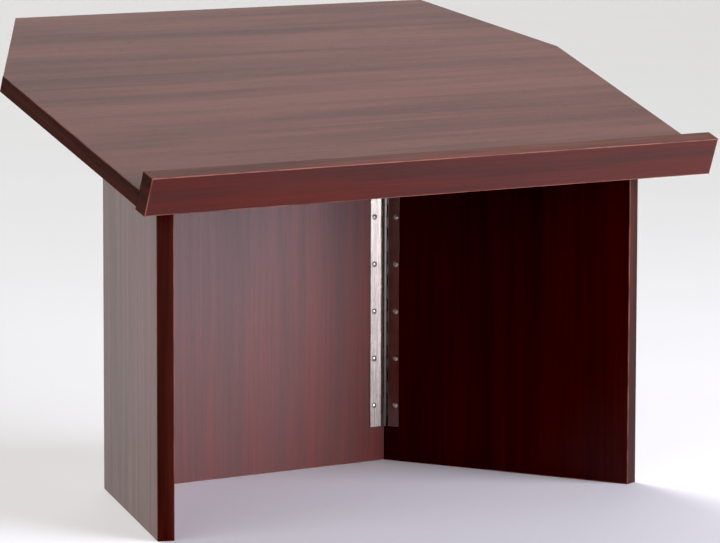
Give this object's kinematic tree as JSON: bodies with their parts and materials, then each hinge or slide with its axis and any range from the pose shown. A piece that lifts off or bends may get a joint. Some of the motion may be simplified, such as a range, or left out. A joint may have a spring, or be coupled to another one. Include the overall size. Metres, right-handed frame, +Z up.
{
  "type": "folding tabletop lectern",
  "caption": "Folding tabletop lectern: sloping wood-grain reading top with cut back corners and a book-stop lip, on a three-panel base with piano hinges.",
  "frame": {"origin": "centre of the overall footprint, on the table the lectern stands on", "axes": "+Z up, +X to the right of the person reading, +Y away from the reader (from the lip to the back panel)"},
  "size_m": [0.65, 0.3724, 0.4555],
  "materials": {
    "laminate": "satin wood-grain laminate",
    "edge_band": "satin wood-grain edge band",
    "hinge_steel": "bright nickel plate",
    "screw_steel": "bright nickel plate",
    "dowel_wood": "plain turned beech",
    "batten_wood": "stained hardwood"
  },
  "bodies": {
    "base": {"back_panel": "laminate", "back_foot_band": "edge_band", "locating_pegs": "dowel_wood", "left_hinge_back_leaf": "hinge_steel", "left_hinge_pin": "hinge_steel", "left_hinge_back_screws": "screw_steel", "right_hinge_back_leaf": "hinge_steel", "right_hinge_pin": "hinge_steel", "right_hinge_back_screws": "screw_steel"},
    "left_wing": {"left_wing_panel": "laminate", "left_wing_front_band": "edge_band", "left_wing_foot_band": "edge_band", "left_hinge_wing_leaf": "hinge_steel", "left_hinge_wing_screws": "screw_steel"},
    "right_wing": {"right_wing_panel": "laminate", "right_wing_front_band": "edge_band", "right_wing_foot_band": "edge_band", "right_hinge_wing_leaf": "hinge_steel", "right_hinge_wing_screws": "screw_steel"},
    "top": {"top_board": "laminate", "top_band_left": "edge_band", "top_band_left_corner": "edge_band", "top_band_back": "edge_band", "top_band_right_corner": "edge_band", "top_band_right": "edge_band", "lip_board": "laminate", "lip_band_top": "edge_band", "lip_band_bottom": "edge_band", "lip_band_left": "edge_band", "lip_band_right": "edge_band", "lip_dowels": "dowel_wood", "left_batten": "batten_wood", "right_batten": "batten_wood", "batten_screws": "screw_steel"}
  },
  "joints": [
    {"name": "right_wing_fold", "type": "hinge", "parent": "base", "child": "right_wing", "pos_m": [0.15428, 0.12308, 0.2], "axis": [0, 0, -1], "range_deg": [0, 112]},
    {"name": "left_wing_fold", "type": "hinge", "parent": "base", "child": "left_wing", "pos_m": [-0.15428, 0.12308, 0.2], "axis": [0, 0, 1], "range_deg": [0, 74]},
    {"name": "top_lift", "type": "slide", "parent": "base", "child": "top", "axis": [0, 0, 1], "range_m": [0, 0.25]}
  ]
}
